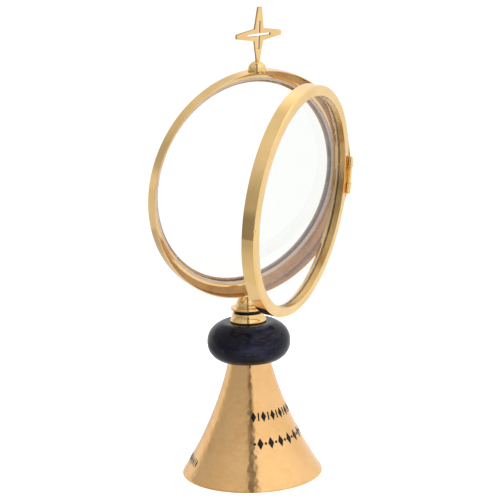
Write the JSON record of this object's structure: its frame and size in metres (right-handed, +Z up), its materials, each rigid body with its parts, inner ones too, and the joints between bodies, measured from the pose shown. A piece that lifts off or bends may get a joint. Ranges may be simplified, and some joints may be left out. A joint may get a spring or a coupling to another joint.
{
  "type": "monstrance",
  "caption": "Table monstrance: a hollow flared base, a stone knob and a dome carry a round glazed case with a hinged glazed door, topped by a pierced cross.",
  "frame": {"origin": "centre of the base's resting face, on the stem's axis", "axes": "+Z up along the stem, the door opens towards -Y, the hinge is on the +X side"},
  "size_m": [0.16, 0.1464, 0.3267],
  "materials": {
    "gold_hammered": "gilt brass, lightly hammered, satin",
    "gold_polished": "gilt brass, polished",
    "blackened": "blackened brass",
    "brass_plain": "plain turned brass",
    "steel": "zinc-plated steel",
    "stone": "polished dark blue stone with faint grey veins",
    "glass": "clear flat glass",
    "gasket": "translucent pale silicone"
  },
  "bodies": {
    "stand": {"base_cone": "gold_hammered", "foot_ring": "brass_plain", "nut_washer": "brass_plain", "rod_nut": "brass_plain", "tie_rod": "steel", "lower_washer": "gold_polished", "stone_knob": "stone", "upper_washer": "gold_polished", "flared_collar": "gold_polished", "neck_spacer": "blackened", "neck_disc": "gold_polished", "dome_boss": "gold_polished", "case_screw": "gold_polished", "case_ring": "gold_polished", "rear_lip": "gold_polished", "rear_glass": "glass", "rear_gasket": "gasket", "rear_snap_ring": "gold_polished", "catch_spring": "gold_polished", "case_hinge": "gold_polished", "hinge_pin": "gold_polished", "cross_foot": "gold_polished", "cross": "gold_polished", "finial_screw": "gold_polished"},
    "door": {"door_ring": "gold_polished", "door_glass": "glass", "door_gasket": "gasket", "door_snap_ring": "gold_polished", "door_hinge": "gold_polished"}
  },
  "joints": [
    {"name": "door_swing", "type": "hinge", "parent": "stand", "child": "door", "pos_m": [0.0765, -0.01777, 0.2043], "axis": [0, -0.153, 0.9882], "range_deg": [-31.2, 118.8]}
  ]
}
